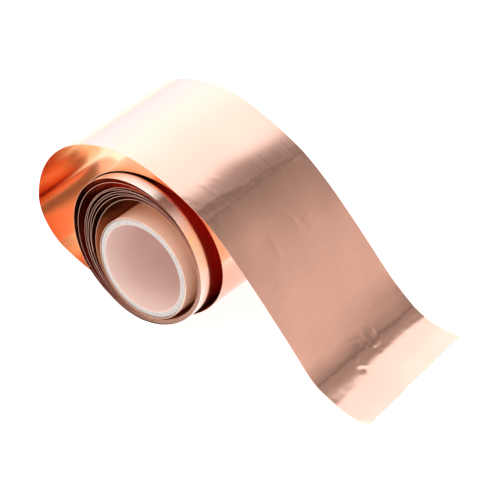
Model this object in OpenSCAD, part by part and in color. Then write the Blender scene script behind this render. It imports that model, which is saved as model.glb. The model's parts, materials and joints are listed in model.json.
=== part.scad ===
// Roll of plain copper foil on a plastic core. The coil has sprung open: the inner
// wraps stay close to the core, the outer turn stands off as a wide loop, and the
// free tail runs down over two creases to the surface that the roll lies on.
//
// The origin is the centre of the core's front end. +Y runs along the core's axis to
// the back, +Z is up, and the tail leaves towards +X.

/* [Core] */
// Outer diameter of the core
core_d = 35; // [25:0.5:80]
// Wall of the core, round its open bore
core_wall = 2; // [0.5:0.25:8]
// Length of the core
core_len = 50; // [20:0.5:120]

/* [Foil] */
// Width of the foil
foil_w = 50; // [20:0.5:120]
// Thickness of the foil
foil_t = 0.1; // [0.05:0.01:0.2]
// Number of wraps that stay tight on the core
tight_turns = 3; // [1:1:10]
// Thickness of the double-sided tape under the first wrap
tape_t = 0.1; // [0.05:0.01:0.3]
// Width of that tape, measured round the core
tape_w = 12; // [5:0.5:25]

/* [Gaps] */
// Air gap where two loose wraps lie on each other
wrap_gap = 0.1; // [0.05:0.01:0.5]
// Clearance between pieces that move past each other
move_gap = 0.3; // [0.2:0.05:1]

/* [Slack of the innermost loose wrap] */
// Slack at the left
inner_left = 1.2; // [0:0.1:6]
// Slack at the upper left
inner_upper_left = 3.2; // [0:0.1:8]
// Slack at the top
inner_top = 8.6; // [0:0.1:15]
// Slack at the upper right
inner_upper_right = 7.2; // [0:0.1:12]
// Slack at the right
inner_right = 4.2; // [0:0.1:8]

/* [Further slack of the coil's outermost wrap] */
// Further slack at the lower left
coil_lower_left = 2.2; // [0:0.1:6]
// Further slack at the left
coil_left = 7.6; // [0:0.1:12]
// Further slack at the upper left
coil_upper_left = 10.2; // [0:0.1:14]
// Further slack at the top
coil_top = 3; // [0:0.1:8]
// Further slack at the upper right
coil_upper_right = 0; // [0:0.1:6]

/* [Further slack of the outer wrap] */
// Further slack at the top
outer_top = 0; // [0:0.1:8]
// Further slack at the upper right
outer_upper_right = 3.7; // [0:0.1:12]
// Further slack at the right
outer_right = 2.6; // [0:0.1:8]
// How far the outer wrap sits back from the coil's front edge
wrap_set_back = 6.5; // [0:0.5:12]

/* [Loop] */
// How far the loop and the tail sit back from the coil's front edge
loop_set_back = 2; // [0:0.5:12]
// Length of foil that lies flat under the coil
flat_run = 4; // [3:0.5:15]
// Slope of the straight run from under the coil out to the elbow, in degrees
slant = 25; // [15:1:35]
// Length of that straight run
slant_run = 29; // [20:0.5:50]
// Clearance of that straight run below the outer wrap
under_gap = 0.6; // [0.5:0.1:5]
// Distance of the loop from the tight stack at the left
left_off = 25; // [18:0.1:40]
// Distance of the loop from the tight stack at the top
top_off = 20; // [16:0.1:35]
// Distance of the loop from the tight stack at the first crease
crease_off = 17; // [16.5:0.1:35]

/* [Tail] */
// Slope of the tail between the two creases, in degrees
tail_slope = 44; // [30:1:60]
// Height of the second crease above the surface
crease_lift = 5.4; // [3:0.1:15]
// Length of the end flap along its front edge
end_front = 20; // [10:0.1:40]
// Length of the end flap along its back edge
end_back = 17; // [8:0.1:40]

/* [Hidden] */

// The loose wraps of the coil, and how far each one has spread from the innermost
// wrap towards the outermost. Five of them stay together as a bundle.
LOOSE = 8;
SPREAD = [0, 0.18, 0.26, 0.34, 0.42, 0.5, 0.8, 1];

// A turn is drawn in octants, clockwise from the bottom as seen from the front.
OCTANTS = 8;
STEPS = 8; // straight steps in each octant, and in each curve of the loop

core_r = core_d / 2;
tight_r = core_r + tape_t; // inside of the tight wraps
tight_skin = tight_turns * foil_t + 0.05; // the wraps and a little air
pitch = foil_t + wrap_gap;
first_r = tight_r + tight_skin + move_gap + foil_t / 2;
body_step = foil_t + move_gap - pitch; // extra radius where the coil meets the outer wrap
stack_r = first_r + (LOOSE + 1) * pitch + body_step; // the whole stack pressed together

coil_front = (core_len - foil_w) / 2;
wrap_front = coil_front + wrap_set_back;
loop_front = coil_front + loop_set_back;

// ---- slack of the wraps, one value for each octant from the bottom round ----

inner_slack = [0, 0, inner_left, inner_upper_left, inner_top, inner_upper_right, inner_right, 0];
coil_slack = [0, coil_lower_left, coil_left, coil_upper_left, coil_top, coil_upper_right, 0, 0];
outer_slack = [0, 0, 0, 0, outer_top, outer_upper_right, outer_right, 0];

// Slack of wrap w in an octant; wrap LOOSE is the outer wrap.
function slack(w, o) =
    w < 0 ? 0
    : w < LOOSE ? inner_slack[o] + SPREAD[w] * coil_slack[o]
    : inner_slack[o] + coil_slack[o] + outer_slack[o];

// Distance from the axis at key k, counted in octants from the start of the first wrap.
function key_r(k) =
    first_r + pitch * k / OCTANTS
    + slack(floor(k / OCTANTS), k - OCTANTS * floor(k / OCTANTS));

// The keys are the control values of a cubic B-spline, so wraps never cross.
function coil_r(u) =
    let(k = floor(u), f = u - k)
    (pow(1 - f, 3) * key_r(k - 1)
     + (3 * pow(f, 3) - 6 * f * f + 4) * key_r(k)
     + (-3 * pow(f, 3) + 3 * f * f + 3 * f + 1) * key_r(k + 1)
     + pow(f, 3) * key_r(k + 2)) / 6;

function on_turn(u, r) = let(a = -90 - 360 * u / OCTANTS) r * [cos(a), sin(a)];
function coil_point(u, extra = 0) = on_turn(u, coil_r(u) + extra);

// ---- thin strips ----

function unit(v) = v / norm(v);
function side(v) = [-v[1], v[0]];

// Outline of a strip of thickness foil_t about a line of points.
function strip(pts) =
    let(n = len(pts) - 1,
        out = [for (i = [0:n])
            side(unit(pts[min(i + 1, n)] - pts[max(i - 1, 0)])) * foil_t / 2])
    concat([for (i = [0:n]) pts[i] + out[i]], [for (i = [n:-1:0]) pts[i] - out[i]]);

// Stands a drawing in X and Z up and gives it a depth along +Y from y = front.
module along_core(front, depth) {
    translate([0, front + depth, 0])
        rotate([90, 0, 0])
            linear_extrude(height = depth)
                children();
}

module wrap(first, last, front, extra = 0) {
    n = round((last - first) * STEPS);
    pts = [for (i = [0:n]) coil_point(first + (last - first) * i / n, extra)];
    along_core(front, foil_w)
        polygon(strip(pts));
}

// ---- the core and what stays on it ----

module tube(r_out, r_in, front, depth) {
    translate([0, front, 0])
        rotate([-90, 0, 0])
            difference() {
                cylinder(r = r_out, h = depth, $fn = 180);
                translate([0, 0, -1])
                    cylinder(r = r_in, h = depth + 2, $fn = 180);
            }
}

module core() {
    color("snow")
        tube(core_r, core_r - core_wall, 0, core_len);
}

module start_tape() {
    sweep = tape_w / core_r * 180 / PI;
    color("lightyellow")
        translate([0, coil_front, 0])
            rotate([-90, 0, 0])
                rotate_extrude(angle = sweep, $fn = 180)
                    translate([core_r, 0])
                        square([tape_t, foil_w]);
}

module tight_wraps() {
    color("peru")
        tube(tight_r + tight_skin, tight_r, coil_front, foil_w);
}

// ---- the loose wraps ----

// Angle that leaves move_gap between the last loose wrap and the outer wrap
part_octants = OCTANTS * move_gap / (2 * PI * stack_r);

module loose_wrap(i) {
    last = OCTANTS * (i + 1) - (i == LOOSE - 1 ? part_octants : 0);
    color(i % 2 == 0 ? "sandybrown" : "peru")
        wrap(OCTANTS * i, last, coil_front);
}

module outer_wrap() {
    color("lightsalmon")
        wrap(OCTANTS * LOOSE, OCTANTS * (LOOSE + 1), wrap_front, body_step);
}

// ---- the loop, from under the coil round to the first crease ----

function polar(r, a) = r * [cos(a), sin(a)];

// Points on a curve that leaves p at angle a and arrives at q at angle b. A curve
// that goes on from the last one leaves out its own first point.
function curve(p, a, reach_p, q, b, reach_q, first = 0) =
    let(c = p + polar(reach_p, a), d = q - polar(reach_q, b))
    [for (i = [first:STEPS])
        let(f = i / STEPS, g = 1 - f)
        g * g * g * p + 3 * g * g * f * c + 3 * g * f * f * d + f * f * f * q];

loop_start = coil_point(OCTANTS * (LOOSE + 1), body_step);
floor_z = loop_start[1];
lift_off = [-flat_run, floor_z];
slant_start = polar(stack_r + coil_lower_left / 2 + under_gap, 270 - slant);
elbow = slant_start + polar(slant_run, 180 - slant);
leftmost = polar(stack_r + left_off, 170);
loop_top = polar(stack_r + top_off, 106);
crease_1 = polar(stack_r + crease_off, 48.5);
crease_1_slope = 29; // the foil comes over the first crease at this slope

// How far each curve runs on along its end tangents grows with the loop.
reach = stack_r / 20;

loop_line = concat(
    [loop_start],
    curve(lift_off, 180, 2 * reach, slant_start, 180 - slant, 2 * reach),
    curve(elbow, 180 - slant, 3 * reach, leftmost, 88, 8 * reach),
    curve(leftmost, 88, 14 * reach, loop_top, 3, 17 * reach, 1),
    curve(loop_top, 3, 14 * reach, crease_1, -crease_1_slope, 10 * reach, 1)
);

module outer_loop() {
    color("lightsalmon")
        along_core(loop_front, foil_w)
            polygon(strip(loop_line));
}

// ---- the tail, in two flat lengths that meet at the second crease ----

crease_2_z = floor_z + crease_lift;
crease_2 = [
    crease_1[0] + (crease_1[1] - crease_2_z) / tan(tail_slope),
    crease_2_z
];
end_slope = asin(crease_lift / end_front);

// A flat length of foil that starts move_gap past a crease and slopes down from it.
module flat_foil(start, slope) {
    translate([start[0], loop_front, start[1]])
        rotate([0, slope, 0])
            translate([0, 0, -foil_t / 2])
                linear_extrude(height = foil_t)
                    children();
}

module tail() {
    length = norm(crease_2 - crease_1);
    color("tan")
        flat_foil(crease_1, tail_slope)
            polygon([
                [move_gap, 0],
                [length, 0],
                [length, foil_w],
                [move_gap, foil_w]
            ]);
}

module tail_end() {
    color("bisque")
        flat_foil(crease_2, end_slope)
            polygon([
                [move_gap, 0],
                [end_front, 0],
                [end_back, foil_w],
                [move_gap, foil_w]
            ]);
}

core();
start_tape();
tight_wraps();
for (i = [0:LOOSE - 1])
    loose_wrap(i);
outer_wrap();
outer_loop();
tail();
tail_end();
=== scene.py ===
import json
import math

import bmesh
import bpy
import numpy as np
from mathutils import Matrix, Vector


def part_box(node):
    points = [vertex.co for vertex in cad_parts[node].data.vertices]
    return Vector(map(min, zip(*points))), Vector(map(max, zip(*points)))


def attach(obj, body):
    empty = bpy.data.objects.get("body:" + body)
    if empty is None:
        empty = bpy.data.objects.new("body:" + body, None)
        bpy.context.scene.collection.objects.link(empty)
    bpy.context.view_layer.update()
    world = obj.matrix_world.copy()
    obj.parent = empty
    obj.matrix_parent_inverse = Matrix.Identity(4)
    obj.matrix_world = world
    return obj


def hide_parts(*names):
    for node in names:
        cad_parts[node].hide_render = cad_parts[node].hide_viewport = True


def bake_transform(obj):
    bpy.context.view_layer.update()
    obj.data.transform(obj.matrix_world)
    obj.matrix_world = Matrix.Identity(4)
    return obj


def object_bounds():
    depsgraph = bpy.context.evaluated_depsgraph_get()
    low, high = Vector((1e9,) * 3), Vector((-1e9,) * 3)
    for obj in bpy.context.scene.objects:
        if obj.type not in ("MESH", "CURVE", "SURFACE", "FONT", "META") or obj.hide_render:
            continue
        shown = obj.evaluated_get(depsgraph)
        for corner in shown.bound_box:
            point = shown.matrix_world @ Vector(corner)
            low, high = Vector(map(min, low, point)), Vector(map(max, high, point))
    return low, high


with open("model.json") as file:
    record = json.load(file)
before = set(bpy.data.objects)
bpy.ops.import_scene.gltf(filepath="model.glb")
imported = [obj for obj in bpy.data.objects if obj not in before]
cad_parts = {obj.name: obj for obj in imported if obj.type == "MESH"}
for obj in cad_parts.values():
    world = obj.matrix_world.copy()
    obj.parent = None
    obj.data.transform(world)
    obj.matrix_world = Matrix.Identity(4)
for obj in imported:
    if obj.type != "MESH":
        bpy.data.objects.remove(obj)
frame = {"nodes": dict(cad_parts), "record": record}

cad_low, cad_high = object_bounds()

MM = 0.001

# ---------------------------------------------------------------- sizes, from the frame

core_low, core_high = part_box("core")
tail_low, tail_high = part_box("tail")
CORE_R = core_high.x
CORE_LENGTH = core_high.y - core_low.y
BORE_R = frame["record"]["mounts"][0]["dims"]["r_mm"] * MM
FOIL_WIDTH = tail_high.y - tail_low.y - 0.4 * MM  # leaves room for the edges to stray
TAIL_BACK = tail_low.y  # how far the loop and tail sit behind the coil's front edge
WRAP_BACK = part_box("outer_wrap")[0].y + 0.6 * MM  # the most the outer wrap sits behind it
FLOOR_Z = cad_low.z

# ---------------------------------------------------------------- sizes of the foil

FOIL_THICKNESS = 0.08 * MM
TIGHT_TURNS = 2.5
TIGHT_OUTSIDE = CORE_R + 0.4 * MM
TIGHT_PITCH = 0.1 * MM
FIRST_R = CORE_R + 0.8 * MM  # the innermost loose wrap where it lies on the core
PITCH = 0.2 * MM
BODY_STEP = 0.2 * MM  # extra radius where the coil passes over to the outer wrap
LOOSE_WRAPS = 8
OCTANTS = 8

# How far each loose wrap has spread from the innermost towards the outermost.
SPREAD = [0, 0.18, 0.26, 0.34, 0.42, 0.5, 0.8, 1]

# Slack in each octant, clockwise from the bottom as seen from the front, in mm.
INNER_SLACK = [0, 0, 1.2, 3.2, 8.6, 7.2, 4.2, 0]
COIL_SLACK = [0, 2.2, 7.6, 10.2, 3, 0, 0, 0]
OUTER_SLACK = [0, 0, 0, 0, 0, 3.7, 2.6, 0]

# The stack's outside where the wraps lie on each other, and the loop beyond it: how far it
# stands off that stack, at what angle round the core, and where it heads there.
STACK_R = FIRST_R + (LOOSE_WRAPS + 1) * PITCH + BODY_STEP
FLAT_RUN = 4 * MM
SLANT = 25
SLANT_OFF = 2.2 * MM
SLANT_RUN = 29 * MM
LEFT_OFF, LEFT_ANGLE, LEFT_HEADING = 26.1 * MM, 170, 88
TOP_OFF, TOP_ANGLE, TOP_HEADING = 20.3 * MM, 106, 3
CREASE_OFF, CREASE_ANGLE, CREASE_SLOPE = 17 * MM, 48.5, 27.5

# The tail's bends past the first crease: distance from the crease to the bend's middle,
# its length, and how many degrees it turns down (or up, below zero), for each edge.
FRONT_BENDS = [
    (0, 4, 9), (7, 9, 6.5), (34, 36, 5.4), (58, 6, -9.9), (62.3, 1.4, -11), (63.6, 0.8, -1.2),
    (67, 6, -3.5), (71.5, 4, -8.8), (77.5, 7, -11)
]
BACK_BENDS = [
    (1, 6, 8.5), (12, 16, 8), (30, 20, 2.2), (49.5, 8, -7.6), (57.5, 5, -2.9), (60.6, 1.2, -9),
    (62, 1, -1.8), (63.7, 2.4, -2), (66.4, 3, -12), (71.6, 6, -10.9)
]
FRONT_LENGTH = 83.1 * MM
BACK_LENGTH = 79.4 * MM
TAIL_DRIFT = 0.35 * MM  # how far the tail strays towards the front
SECOND_CREASE = 62  # mm past the first


# ---------------------------------------------------------------- the foil's line

def polar(radius, degrees):
    """A point (x, z) at this distance from the core's axis, anticlockwise from +X."""
    angle = math.radians(degrees)
    return np.array([radius * math.cos(angle), radius * math.sin(angle)])


def key_radius(key):
    """Distance from the core's axis at a key; keys count octants from the first loose wrap."""
    wrap, octant = divmod(key, OCTANTS)
    if wrap < 0:
        return TIGHT_OUTSIDE + TIGHT_PITCH * key / OCTANTS
    slack = INNER_SLACK[octant] + (SPREAD + [1, 1])[wrap] * COIL_SLACK[octant]
    if wrap >= LOOSE_WRAPS:
        slack += OUTER_SLACK[octant]
    step = BODY_STEP if wrap >= LOOSE_WRAPS else 0
    return FIRST_R + PITCH * key / OCTANTS + slack * MM + step


def coil_radius(turn):
    """Cubic B-spline through the key radii; turn counts octants."""
    key = math.floor(turn)
    f = turn - key
    weights = [
        (1 - f) ** 3,
        3 * f ** 3 - 6 * f ** 2 + 4,
        -3 * f ** 3 + 3 * f ** 2 + 3 * f + 1,
        f ** 3,
    ]
    return sum(w * key_radius(key + i - 1) for i, w in enumerate(weights)) / 6


def coil_point(turn):
    """A point of the coil, clockwise from its bottom."""
    return polar(coil_radius(turn), -90 - 360 * turn / OCTANTS)


def curve(start, heading, reach, end, end_heading, end_reach, steps=60):
    """Points on a curve that leaves start at one heading and arrives at end at another."""
    a = start + polar(reach, heading)
    b = end - polar(end_reach, end_heading)
    points = []
    for i in range(1, steps + 1):
        f = i / steps
        g = 1 - f
        points.append(g ** 3 * start + 3 * g * g * f * a + 3 * g * f * f * b + f ** 3 * end)
    return points


TURN_STEPS = 24  # steps in each octant of the coil
first_turn = -TIGHT_TURNS * OCTANTS
last_turn = OCTANTS * (LOOSE_WRAPS + 1)
turns = np.arange(first_turn * TURN_STEPS, last_turn * TURN_STEPS + 1) / TURN_STEPS
coil_line = [coil_point(turn) for turn in turns]

loop_start = coil_line[-1]
lift_off = np.array([-FLAT_RUN, loop_start[1]])
slant_start = polar(STACK_R + SLANT_OFF, 270 - SLANT)
elbow = slant_start + polar(SLANT_RUN, 180 - SLANT)
leftmost = polar(STACK_R + LEFT_OFF, LEFT_ANGLE)
loop_top = polar(STACK_R + TOP_OFF, TOP_ANGLE)
crease = polar(STACK_R + CREASE_OFF, CREASE_ANGLE)
reach = STACK_R / 20

loop_line = (
    curve(loop_start, 180, 1.5 * MM, lift_off, 180, 1 * MM, 20)
    + curve(lift_off, 180, 2 * reach, slant_start, 180 - SLANT, 2 * reach, 30)
    + curve(slant_start, 180 - SLANT, 10 * reach, elbow, 180 - SLANT, 10 * reach)
    + curve(elbow, 180 - SLANT, 3 * reach, leftmost, LEFT_HEADING, 8.6 * reach)
    + curve(leftmost, LEFT_HEADING, 17.2 * reach, loop_top, TOP_HEADING, 19.6 * reach)
)
top_line = curve(loop_top, TOP_HEADING, 14 * reach, crease, -CREASE_SLOPE, 9 * reach)
TAIL_STEP = 0.2 * MM


def tail_line(bends):
    """Points of one edge of the tail, from the first crease to the cut end."""
    points = []
    place = np.array(crease)
    for i in range(int(FRONT_LENGTH * 1.02 / TAIL_STEP)):
        at = (i + 0.5) * TAIL_STEP / MM
        slope = CREASE_SLOPE
        for middle, length, turn in bends:
            slope += turn * min(max((at - middle) / length + 0.5, 0), 1)
        place = place + polar(TAIL_STEP, -slope)
        points.append(place)
    return points


lead = coil_line + loop_line + top_line
front_line = np.array(lead + tail_line(FRONT_BENDS))
back_line = np.array(lead + tail_line(BACK_BENDS))
lengths = np.concatenate([[0], np.cumsum(np.linalg.norm(np.diff(front_line, axis=0), axis=1))])


# ---------------------------------------------------------------- places along the foil

def at_turn(turn):
    """Length of foil from its inner end to a turn."""
    return lengths[int(round((turn - first_turn) * TURN_STEPS))]


AT_FIRST = at_turn(0)
AT_FREE = at_turn(4)
AT_OUTER = at_turn(LOOSE_WRAPS * OCTANTS)
AT_OUTER_TOP = at_turn(LOOSE_WRAPS * OCTANTS + 4)
AT_LOOP = at_turn(last_turn)
AT_TOP = lengths[len(coil_line) + len(loop_line) - 1]
AT_CREASE = lengths[len(lead) - 1]
AT_MIDDLE = AT_CREASE + 30 * MM
AT_END = AT_CREASE + FRONT_LENGTH


def edge_place(line, s):
    """Where one edge's line is at s, as x and z."""
    return np.stack([np.interp(s, lengths, line[:, axis]) for axis in (0, 1)], axis=-1)


# ---------------------------------------------------------------- dents and creases

def smooth_step(x):
    """Rises smoothly from 0 to 1 as x does."""
    x = np.clip(x, 0, 1)
    return x * x * (3 - 2 * x)


def hill(x, width):
    """A smooth bump of height 1 about zero."""
    return np.exp(-(x / width) ** 2)


def ripples(s, y, seed, count, shortest, longest):
    """Gentle waves in every direction, about one unit high; lengths in mm."""
    dice = np.random.default_rng(seed)
    height = np.zeros_like(s)
    for _ in range(count):
        angle, phase = dice.uniform(0, 2 * math.pi, 2)
        wave = 2 * math.pi / dice.uniform(shortest, longest)
        height += np.sin(wave * (s * math.cos(angle) + y * math.sin(angle)) + phase)
    return height / math.sqrt(count)


def fold(s, y, middle_s, middle_y, angle, length, width, height, bow=0):
    """A short sharp ridge (or furrow, below zero), straight or bowed, that fades at its ends."""
    c, d = math.cos(math.radians(angle)), math.sin(math.radians(angle))
    along = (s - middle_s) * c + (y - middle_y) * d
    off = (y - middle_y) * c - (s - middle_s) * d + bow * along ** 2
    ridge = np.exp(-np.sqrt(off ** 2 + (0.15 * width) ** 2) / width)
    return height * ridge * hill(along, length / 2)


def dimple(s, y, middle_s, middle_y, radius, height):
    """A round bulge (or pit, below zero)."""
    return height * hill(np.hypot(s - middle_s, y - middle_y), radius)


def crumple(s, y, seed, count, s_range, y_range, angles, lengths_mm, heights):
    """Many short folds scattered over a patch."""
    dice = np.random.default_rng(seed)
    height = np.zeros_like(s)
    for _ in range(count):
        height += fold(
            s, y, dice.uniform(*s_range), dice.uniform(*y_range), dice.uniform(*angles),
            dice.uniform(*lengths_mm), dice.uniform(0.5, 1.3),
            dice.choice([-1, 1]) * dice.uniform(*heights)
        )
    return height


def dents(s, y):
    """How far the foil stands out of its smooth shape, in mm, at s along it and y across it."""
    s, y = s / MM, y / MM
    p = s - AT_CREASE / MM
    turn = np.interp(s, lengths[:len(turns)] / MM, turns)
    room = np.interp(turn % OCTANTS, range(OCTANTS + 1), COIL_SLACK + [0]) / 10
    loose = smooth_step(turn / 6) * (1 - smooth_step((turn - 46) / 8))
    height = 0.28 * room * loose * ripples(s, y, 3, 7, 25, 90)
    on_loop = smooth_step((s - AT_LOOP / MM - 20) / 30)
    on_tail = smooth_step((p - 2) / 14)
    flap = smooth_step((p - SECOND_CREASE) / 8)
    height += 0.06 * on_loop * ripples(s, y, 5, 8, 22, 60)
    height += 0.022 * on_tail * ripples(s, y, 7, 9, 12, 34)
    height += 0.005 * on_tail * ripples(s, y, 9, 12, 3, 9)
    # The first crease: the foil turns down sharply at a slanted, slightly crooked line
    wander = 0.3 * np.sin(0.3 * y + 1) + 0.12 * np.sin(0.9 * y) + 0.04 * np.sin(2.3 * y + 2)
    past = np.maximum(p + 4.3 - 0.08 * y - wander, 0)
    height -= 0.13 * past * np.exp(-past / 4)
    height += crumple(p, y, 11, 22, (-12, 3), (0, 16), (-30, 60), (3, 8), (0.006, 0.026))
    height += crumple(p, y, 12, 16, (-4, 1), (12, 50), (60, 120), (3, 8), (0.005, 0.02))
    # Shallow crescent dents under it, and faint scratches down the tail
    height += fold(p, y, 15.5, 29, 15, 7, 0.8, 0.05, 0.06)
    height -= fold(p, y, 16.5, 31.5, 20, 6, 0.8, 0.04, 0.06)
    height += fold(p, y, 19, 17, -6, 10, 1.0, 0.045, 0.05)
    height += crumple(p, y, 17, 26, (8, 56), (0, 50), (-90, 90), (3, 12), (0.003, 0.012))
    # The second crease: star-shaped crumples in its middle and one dimple below them
    height += crumple(p, y, 13, 26, (58, 64), (18, 32), (0, 180), (2, 7), (0.02, 0.07))
    height += crumple(p, y, 14, 20, (60, 65), (0, 50), (60, 120), (3, 9), (0.005, 0.03))
    height += dimple(p, y, 66.5, 17, 1.3, 0.12) - fold(p, y, 66, 18.5, 60, 6, 0.7, 0.04)
    height += 0.09 * flap * ripples(s, y, 19, 6, 14, 34)
    return height * MM


def front_edge(s):
    """Where the foil's front edge is along the axis."""
    turn = np.interp(s, lengths[:len(turns)], turns)
    stray = 0.25 * MM * (1 + np.sin(turn * 0.83) * np.sin(turn * 0.37 + 1))
    loose = smooth_step(turn / 8) * (1 - smooth_step((turn - 54) / 8))
    out = WRAP_BACK * smooth_step((turn - LOOSE_WRAPS * OCTANTS) / 6)
    home = smooth_step((s - AT_LOOP + 8 * MM) / (45 * MM))
    drift = TAIL_DRIFT * smooth_step((s - AT_CREASE) / (25 * MM))
    return stray * loose + out + (TAIL_BACK - WRAP_BACK) * home - drift


def cut_end(v):
    """Length of foil to the cut end, at v of its width."""
    ragged = 0.10 * np.sin(41 * v) + 0.08 * np.sin(97 * v + 1) + 0.12 * np.sin(19 * v + 2)
    return AT_CREASE + FRONT_LENGTH + (BACK_LENGTH - FRONT_LENGTH) * v + ragged * MM


def foil_places(s, v):
    """Points on the middle of the foil, s along it and v of the way across it."""
    step = 0.1 * MM

    def middle(s):
        return (1 - v)[:, None] * edge_place(front_line, s) + v[:, None] * edge_place(back_line, s)

    here = middle(s)
    along = middle(s + step) - middle(s - step)
    along /= np.linalg.norm(along, axis=1)[:, None]
    height = dents(s, v * FOIL_WIDTH)
    return np.stack([
        here[:, 0] - along[:, 1] * height,
        front_edge(s) + v * FOIL_WIDTH,
        np.maximum(here[:, 1] + along[:, 0] * height, FLOOR_Z + FOIL_THICKNESS / 2),
    ], axis=1)


# ---------------------------------------------------------------- pieces

def new_object(name, mesh_maker, material):
    """A smooth object whose mesh mesh_maker draws."""
    bm = bmesh.new()
    mesh_maker(bm)
    mesh = bpy.data.meshes.new(name)
    bm.to_mesh(mesh)
    bm.free()
    for polygon in mesh.polygons:
        polygon.use_smooth = True
    mesh.materials.append(material)
    obj = bpy.data.objects.new(name, mesh)
    bpy.context.scene.collection.objects.link(obj)
    return obj


def foil_piece(name, start, end, row, across, material, inner=None):
    """A length of the foil from start to end, with rows this far apart."""
    rows = max(2, round((end - start) / row))

    def make(bm):
        bmesh.ops.create_grid(bm, x_segments=rows, y_segments=across, size=0.5)
        foil_map = bm.loops.layers.uv.new("foil")
        grid = np.array([vert.co for vert in bm.verts])
        t, v = grid[:, 0] + 0.5, grid[:, 1] + 0.5
        s = start + ((cut_end(v) if end >= AT_END else end) - start) * t
        for vert, place in zip(bm.verts, foil_places(s, v)):
            vert.co = place
        for face in bm.faces:
            for loop in face.loops:
                i = loop.vert.index
                loop[foil_map].uv = (s[i], v[i] * FOIL_WIDTH)
        for edge in bm.edges:
            edge.smooth = not edge.is_boundary

    piece = new_object(name, make, material)
    piece.data.materials.append(inner or underside)
    wall = piece.modifiers.new("thickness", "SOLIDIFY")
    wall.thickness = FOIL_THICKNESS
    wall.offset = 0
    wall.material_offset = 1
    return piece


def core_tube(bm):
    """A tube with softened ends, spun about the core's axis."""
    corners = [(BORE_R, 0), (CORE_R, 0), (CORE_R, CORE_LENGTH), (BORE_R, CORE_LENGTH)]
    verts = [bm.verts.new((r, core_low.y + y, 0)) for r, y in corners]
    edges = [bm.edges.new((verts[i], verts[(i + 1) % 4])) for i in range(4)]
    bmesh.ops.spin(
        bm, geom=verts + edges, cent=(0, 0, 0), axis=(0, 1, 0),
        angle=2 * math.pi, steps=160, use_merge=True
    )
    bmesh.ops.remove_doubles(bm, verts=bm.verts, dist=1e-6)
    bmesh.ops.recalc_face_normals(bm, faces=bm.faces)
    rims = [e for e in bm.edges if abs(e.verts[0].co.y - e.verts[1].co.y) < 1e-7
            and abs(e.verts[0].co.xz.length - e.verts[1].co.xz.length) < 1e-6]
    bmesh.ops.bevel(
        bm, geom=rims, offset=0.35 * MM, offset_type="OFFSET", affect="EDGES",
        segments=3, profile=0.5, material=-1
    )


# ---------------------------------------------------------------- materials

def new_material(name):
    """A material, its nodes and links, and its shader."""
    material = bpy.data.materials.new(name)
    material.use_nodes = True
    nodes = material.node_tree.nodes
    return material, nodes, material.node_tree.links, nodes["Principled BSDF"]


def foil_reading(nodes, links):
    """Length along the foil and place across it, as two sockets."""
    place = nodes.new("ShaderNodeUVMap")
    place.uv_map = "foil"
    split = nodes.new("ShaderNodeSeparateXYZ")
    links.new(place.outputs["UV"], split.inputs[0])
    return place.outputs["UV"], split.outputs["X"], split.outputs["Y"]


def map_range(nodes, links, value, start, end, low, high, shape="SMOOTHSTEP"):
    """A value that goes from low to high as another goes from start to end."""
    node = nodes.new("ShaderNodeMapRange")
    node.interpolation_type = shape
    settings = {"From Min": start, "From Max": end, "To Min": low, "To Max": high}
    for name, number in settings.items():
        node.inputs[name].default_value = number
    links.new(value, node.inputs["Value"])
    return node.outputs["Result"]


def colour_ramp(nodes, stops):
    """A colour ramp through these positions and colours."""
    ramp = nodes.new("ShaderNodeValToRGB")
    elements = ramp.color_ramp.elements
    for element, (position, colour) in zip(elements, (stops[0], stops[-1])):
        element.position, element.color = position, tuple(colour) + (1,)
    for position, colour in stops[1:-1]:
        elements.new(position).color = tuple(colour) + (1,)
    return ramp


def joined(nodes, links, operation, first, second):
    """Two values added or multiplied."""
    both = nodes.new("ShaderNodeMath")
    both.operation = operation
    links.new(first, both.inputs[0])
    links.new(second, both.inputs[1])
    return both.outputs["Value"]


def clouds(nodes, links, place, scale, detail):
    """Soft cloudy noise from 0 to 1."""
    noise = nodes.new("ShaderNodeTexNoise")
    noise.inputs["Scale"].default_value = scale
    noise.inputs["Detail"].default_value = detail
    links.new(place, noise.inputs["Vector"])
    return map_range(nodes, links, noise.outputs["Fac"], 0.3, 0.7, 0, 1)


def mixed(nodes, links, factor, first, second):
    """A colour between two; each is a constant or a socket."""
    mix = nodes.new("ShaderNodeMix")
    mix.data_type = "RGBA"
    links.new(factor, mix.inputs["Factor"])
    for name, colour in (("A", first), ("B", second)):
        if isinstance(colour, tuple):
            mix.inputs[name].default_value = colour
        else:
            links.new(colour, mix.inputs[name])
    return mix.outputs["Result"]


def grain(nodes, links, shader, place, scale, depth):
    """A fine raised grain."""
    bump = nodes.new("ShaderNodeBump")
    bump.inputs["Distance"].default_value = depth
    links.new(clouds(nodes, links, place, scale, 3), bump.inputs["Height"])
    links.new(bump.outputs["Normal"], shader.inputs["Normal"])


def rolled_finish(nodes, links, shader, place, dull, sharp):
    """Faint rolling lines along the foil, between a dull and a sharper roughness."""
    stretch = nodes.new("ShaderNodeMapping")
    stretch.inputs["Scale"].default_value = (30, 1500, 1)
    links.new(place, stretch.inputs["Vector"])
    lines = nodes.new("ShaderNodeTexNoise")
    lines.inputs["Scale"].default_value = 1
    lines.inputs["Detail"].default_value = 3
    links.new(stretch.outputs["Vector"], lines.inputs["Vector"])
    links.new(map_range(nodes, links, lines.outputs["Fac"], 0.3, 0.7, sharp, dull),
              shader.inputs["Roughness"])


COPPER = (0.90, 0.50, 0.38, 1)
FOIL_DULL, FOIL_SHARP = 0.17, 0.14  # roughness on and between the rolling lines


def copper_foil(name, colour):
    """Bright rolled foil."""
    material, nodes, links, shader = new_material(name)
    shader.inputs["Metallic"].default_value = 1
    shader.inputs["Base Color"].default_value = colour
    place, _, _ = foil_reading(nodes, links)
    rolled_finish(nodes, links, shader, place, FOIL_DULL, FOIL_SHARP)
    return material


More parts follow.
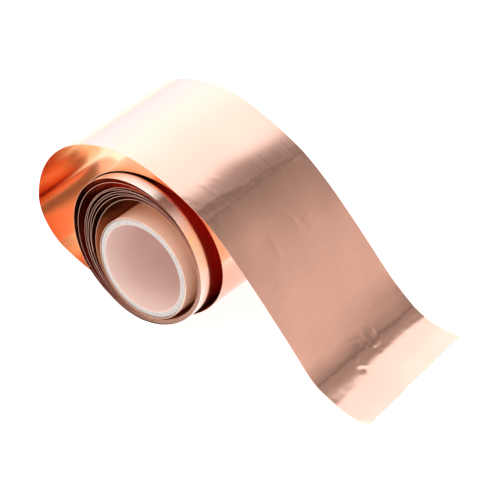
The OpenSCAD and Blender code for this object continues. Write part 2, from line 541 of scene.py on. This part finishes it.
# The coil's outermost turn along its front edge, by octants from the core, painted in colours that
# stand in for light:
# a pale painted highlight, a dark painted shade past the top, then warmer painted reflection, then
# pale painted highlight again.
PAINTED_EDGE_BAND = [
    (59, (1.0, 0.94, 0.88)), (60.4, (1.0, 0.90, 0.82)), (60.6, (0.16, 0.09, 0.07)),
    (60.76, (0.24, 0.13, 0.10)), (61.0, (0.74, 0.48, 0.42)), (61.35, (1.0, 0.56, 0.32)),
    (61.8, (1.0, 0.66, 0.46)), (62.3, (1.0, 0.88, 0.80)), (64, (1.0, 0.88, 0.80))
]


def coil_copper():
    """Copper foil whose outermost turn is painted dull along its front edge, in a band of painted
    highlight, shade and reflection.
    """
    material, nodes, links, shader = new_material("coil_copper")
    place, length, across = foil_reading(nodes, links)
    rolled_finish(nodes, links, shader, place, FOIL_DULL, FOIL_SHARP)
    narrowing = map_range(nodes, links, length, at_turn(61.2), at_turn(62.2), 0, 1.4 * MM)
    from_edge = joined(nodes, links, "ADD", across, narrowing)
    near_edge = map_range(nodes, links, from_edge, 2.5 * MM, 4.8 * MM, 1, 0)
    outside = map_range(nodes, links, length, at_turn(59), at_turn(60), 0, 0.9)
    # The band of painted light and shade: metallic is turned down there and its colour comes from
    # the ramp.
    painted_band = joined(nodes, links, "MULTIPLY", near_edge, outside)
    links.new(map_range(nodes, links, painted_band, 0, 1, 1, 0), shader.inputs["Metallic"])
    first, last = PAINTED_EDGE_BAND[0][0], PAINTED_EDGE_BAND[-1][0]
    ramp = colour_ramp(nodes, [((turn - first) / (last - first), shade)
                               for turn, shade in PAINTED_EDGE_BAND])
    links.new(map_range(nodes, links, length, at_turn(first), at_turn(last), 0, 1, "LINEAR"),
              ramp.inputs["Fac"])
    links.new(mixed(nodes, links, painted_band, COPPER, ramp.outputs["Color"]),
              shader.inputs["Base Color"])
    return material


def satin_copper_painted_reflection():
    """The inner turns in duller, paler copper; the paler colour is painted reflection, and its
    tone drifts in patches.
    """
    material, nodes, links, shader = new_material("satin_copper_painted_reflection")
    shader.inputs["Metallic"].default_value = 0.35
    place, _, _ = foil_reading(nodes, links)
    rolled_finish(nodes, links, shader, place, 0.56, 0.44)
    patches = clouds(nodes, links, place, 140, 4)
    # Painted reflection: a paler copper than the bright foil, in two close tones.
    links.new(mixed(nodes, links, patches, (0.98, 0.66, 0.52, 1), (1.0, 0.71, 0.57, 1)),
              shader.inputs["Base Color"])
    return material


def frosted_plastic():
    """White moulded plastic with a warm tint painted inside its bore, as a painted reflection of
    the copper.
    """
    material, nodes, links, shader = new_material("frosted_plastic")
    coordinates = nodes.new("ShaderNodeTexCoord")
    place = coordinates.outputs["Object"]
    split = nodes.new("ShaderNodeSeparateXYZ")
    links.new(place, split.inputs[0])
    flat = nodes.new("ShaderNodeCombineXYZ")
    links.new(split.outputs["X"], flat.inputs["X"])
    links.new(split.outputs["Z"], flat.inputs["Z"])
    radius = nodes.new("ShaderNodeVectorMath")
    radius.operation = "LENGTH"
    links.new(flat.outputs["Vector"], radius.inputs[0])
    wall = map_range(nodes, links, radius.outputs["Value"], BORE_R + 0.1 * MM, BORE_R + 0.5 * MM,
                     0, 1, "LINEAR")
    haze = clouds(nodes, links, place, 90, 3)
    # Painted reflection: the bore is tinted warm as though it mirrored the copper.
    painted_bore_reflection = mixed(nodes, links, haze, (0.73, 0.53, 0.47, 1), (0.77, 0.57, 0.51, 1))
    speckle = clouds(nodes, links, place, 1100, 2)
    ring = mixed(nodes, links, speckle, (0.46, 0.42, 0.40, 1), (0.56, 0.51, 0.48, 1))
    links.new(mixed(nodes, links, wall, painted_bore_reflection, ring), shader.inputs["Base Color"])
    links.new(map_range(nodes, links, haze, 0, 1, 0.40, 0.50), shader.inputs["Roughness"])
    grain(nodes, links, shader, place, 1500, 0.01 * MM)
    return material


def plain_tape():
    """Yellowish paper tape with a fibrous grain."""
    material, nodes, links, shader = new_material("start_tape")
    place = nodes.new("ShaderNodeTexCoord").outputs["Object"]
    fibres = clouds(nodes, links, place, 900, 5)
    links.new(mixed(nodes, links, fibres, (0.74, 0.70, 0.56, 1), (0.84, 0.80, 0.66, 1)),
              shader.inputs["Base Color"])
    shader.inputs["Roughness"].default_value = 0.4
    grain(nodes, links, shader, place, 900, 0.02 * MM)
    return material


copper = copper_foil("copper_foil", COPPER)
# The foil's inner faces are in paler copper: painted light, lifting the shaded insides of the coil
# and loop.
underside = copper_foil("copper_underside_painted_light", (0.94, 0.66, 0.44, 1))
plastic = frosted_plastic()

core = new_object("core_tube", core_tube, plastic)
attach(core, "spool")
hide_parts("core")

frame["nodes"]["start_tape"].data.materials.clear()
frame["nodes"]["start_tape"].data.materials.append(plain_tape())

tight = foil_piece("foil_on_core", 0, AT_FIRST, 1 * MM, 12, satin_copper_painted_reflection())
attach(tight, "spool")
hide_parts("tight_wraps")

first = foil_piece("foil_off_core", AT_FIRST, AT_FREE, 0.7 * MM, 40, copper)
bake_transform(first)
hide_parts("loose_wrap_1")

coil = foil_piece("foil_coil", AT_FREE, AT_OUTER, 1 * MM, 40, coil_copper())
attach(coil, "coil")
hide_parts(*[f"loose_wrap_{i}" for i in range(2, LOOSE_WRAPS + 1)])

# The outer wrap's inner face is in darker copper: painted shade.
step = foil_piece("foil_step", AT_OUTER, AT_OUTER_TOP, 1 * MM, 40, copper,
                  inner=copper_foil("painted_shade_underside", (0.70, 0.38, 0.42, 1)))
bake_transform(step)
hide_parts("outer_wrap")

turn = foil_piece("foil_loop", AT_OUTER_TOP, AT_TOP, 1 * MM, 40, copper)
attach(turn, "loop")
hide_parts("outer_loop")

upper = foil_piece("foil_tail", AT_TOP, AT_MIDDLE, 0.5 * MM, 100, copper)
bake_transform(upper)
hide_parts("tail")

lower = foil_piece("foil_end", AT_MIDDLE, AT_END, 0.4 * MM, 120, copper)
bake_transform(lower)
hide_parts("tail_end")

# ---------------------------------------------------------------- floor, light and camera

def floor_grid(bm):
    """A flat square under the roll."""
    bmesh.ops.create_grid(bm, x_segments=1, y_segments=1, size=6)
    bmesh.ops.translate(bm, verts=bm.verts, vec=(0, 0, FLOOR_Z))


def floor_paint():
    """Matt white that glows a little, so that no shadow darkens it."""
    material, nodes, links, shader = new_material("pale_floor")
    shader.inputs["Base Color"].default_value = (0.4, 0.4, 0.4, 1)
    shader.inputs["Roughness"].default_value = 0.9
    shader.inputs["Emission Color"].default_value = (1, 1, 1, 1)
    shader.inputs["Emission Strength"].default_value = 0.8
    return material


floor = new_object("floor", floor_grid, floor_paint())


def overhead_light():
    """A big soft light above the roll, which the foil doesn't mirror."""
    light = bpy.data.lights.new("fill_overhead", "AREA")
    light.shape = "RECTANGLE"
    light.size, light.size_y = 3, 3
    light.energy = 65
    lamp = bpy.data.objects.new("fill_overhead", light)
    lamp.location = (-0.2, -0.3, 2.0)
    lamp.visible_glossy = False
    bpy.context.scene.collection.objects.link(lamp)


overhead_light()

# Brightness of the surroundings by height of the direction, from level (0) to overhead (1)
PANEL_SHADES = [(0, 1.4), (0.16, 1.6), (0.37, 1.75), (0.58, 1.82), (0.70, 1.7), (0.76, 1.55),
                (1, 1.2)]
WALL_SHADES = [(0, 1.3), (0.3, 1.1), (0.40, 0.84), (0.473, 0.75), (0.545, 0.64), (0.59, 0.52),
               (0.65, 0.40), (0.70, 0.30), (0.715, 0.27), (0.73, 0.13), (0.741, 0.15),
               (0.75, 0.30), (0.757, 0.38), (1, 0.4)]
PANEL_LOW_TINT, PANEL_HIGH_TINT = (1.05, 1.03, 1.27), (0.93, 1.065, 1.16)
WALL_TINT = (1.07, 1.03, 1.0)
TINT_TOP = 0.7  # the height where the higher tint has taken over


def studio_walls():
    """Pale walls, a broad bright panel at the back left and a darker ceiling to its right."""
    world = bpy.data.worlds.new("studio")
    bpy.context.scene.world = world
    world.use_nodes = True
    nodes, links = world.node_tree.nodes, world.node_tree.links
    direction = nodes.new("ShaderNodeTexCoord")
    split = nodes.new("ShaderNodeSeparateXYZ")
    links.new(direction.outputs["Generated"], split.inputs[0])

    def shades(stops, low_tint, high_tint):
        """The stops as a ramp, in one tint at the bottom that turns into another above."""
        ramp = colour_ramp(nodes, [
            (height, [value * (low + (high - low) * min(height / TINT_TOP, 1))
                      for low, high in zip(low_tint, high_tint)])
            for height, value in stops
        ])
        links.new(split.outputs["Z"], ramp.inputs["Fac"])
        return ramp.outputs["Color"]

    panel = shades(PANEL_SHADES, PANEL_LOW_TINT, PANEL_HIGH_TINT)
    walls = shades(WALL_SHADES, WALL_TINT, WALL_TINT)
    left = map_range(nodes, links, split.outputs["X"], 0.132, 0.066, 0, 1)
    behind = map_range(nodes, links, split.outputs["Y"], -0.2, 0.2, 0, 1)
    on_panel = joined(nodes, links, "MULTIPLY", left, behind)
    links.new(mixed(nodes, links, on_panel, walls, panel), nodes["Background"].inputs["Color"])


studio_walls()

VIEW_AZIMUTH = 39.08
VIEW_ELEVATION = 35.43
VIEW_ROLL = -0.34
VIEW_DISTANCE = 1.097
LENS = 248
SENSOR_WIDTH = 36
AIM = Vector((24.48, 24.19, 4.71)) * MM


def studio_camera():
    """A long lens from the front right and above."""
    azimuth, elevation = math.radians(VIEW_AZIMUTH), math.radians(VIEW_ELEVATION)
    back = Vector((
        math.sin(azimuth) * math.cos(elevation),
        -math.cos(azimuth) * math.cos(elevation),
        math.sin(elevation),
    ))
    camera = bpy.data.objects.new("camera", bpy.data.cameras.new("camera"))
    camera.data.lens = LENS
    camera.data.sensor_width = SENSOR_WIDTH
    camera.data.clip_start, camera.data.clip_end = 0.05, 20
    turn = (-back).to_track_quat("-Z", "Y").to_matrix().to_4x4()
    roll = Matrix.Rotation(math.radians(VIEW_ROLL), 4, "Z")
    camera.matrix_world = Matrix.Translation(AIM + back * VIEW_DISTANCE) @ turn @ roll
    bpy.context.scene.collection.objects.link(camera)
    bpy.context.scene.camera = camera


studio_camera()
bpy.context.scene.view_settings.view_transform = "Standard"
bpy.context.scene.cycles.max_bounces = 32
bpy.context.scene.cycles.glossy_bounces = 32
